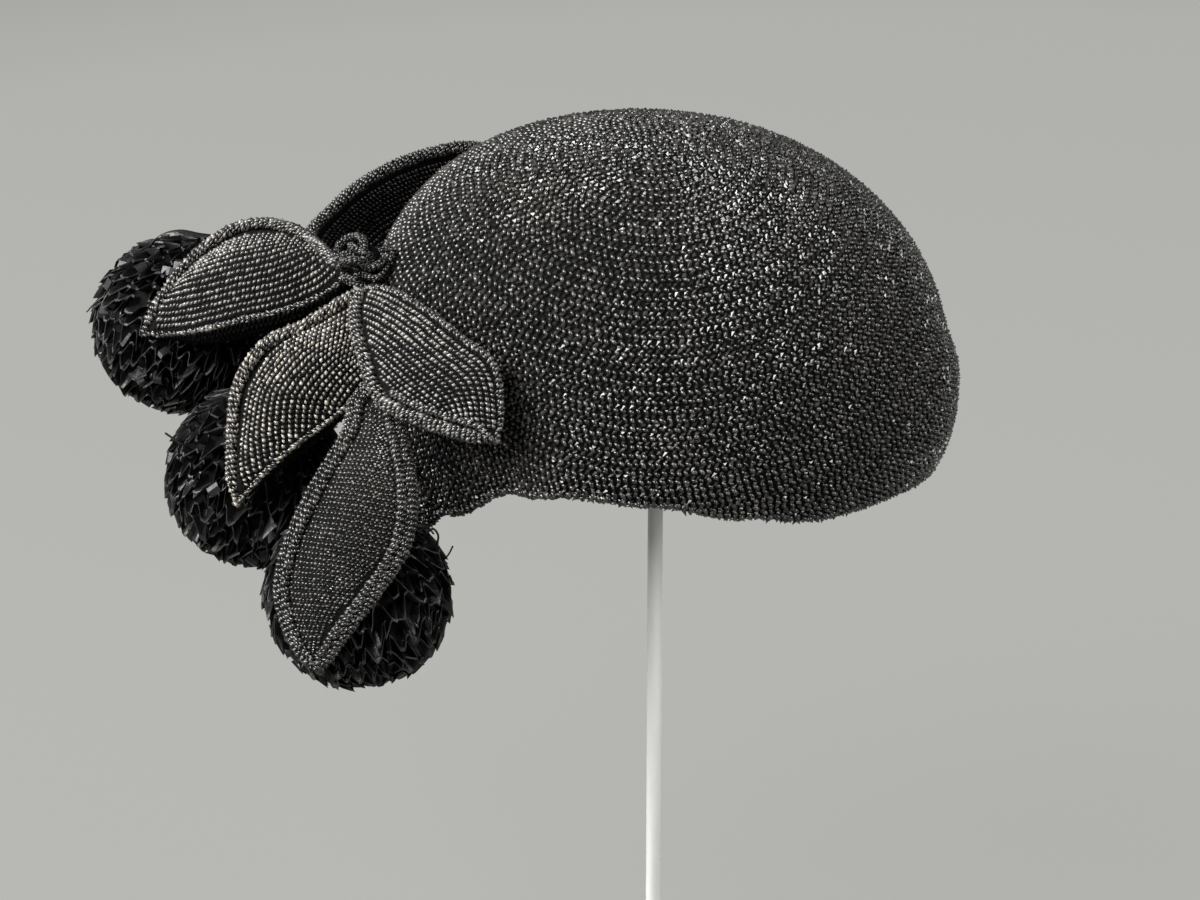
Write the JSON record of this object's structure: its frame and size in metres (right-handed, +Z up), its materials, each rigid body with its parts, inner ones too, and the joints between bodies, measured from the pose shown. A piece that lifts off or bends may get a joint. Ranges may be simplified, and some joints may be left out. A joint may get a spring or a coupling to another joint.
{
  "type": "hat on a rod stand",
  "caption": "Black plaited-straw cap with a domed crown and wavy edge, trimmed at the back with cupped straw leaves and balls of folded straw ribbon, on a pale rod with a round foot.",
  "frame": {"origin": "centre of the foot's underside, on the axis of the rod", "axes": "+Z up along the rod, +X towards the front of the hat, +Y towards its left side, away from the picture's camera"},
  "size_m": [0.3487, 0.1994, 0.391],
  "materials": {
    "straw": "satin",
    "ribbon": "satin",
    "pad": "matte",
    "rod": "satin"
  },
  "bodies": {
    "root": {"crown": "straw", "leaf_1": "straw", "leaf_2": "straw", "leaf_3": "straw", "leaf_4": "straw", "leaf_5": "straw", "knot": "straw", "ball_1": "ribbon", "ball_2": "ribbon", "ball_3": "ribbon", "stem_1": "straw", "stem_2": "straw", "stem_3": "straw", "stand_pad": "pad", "stand_rod": "rod", "stand_base": "rod"}
  },
  "joints": []
}
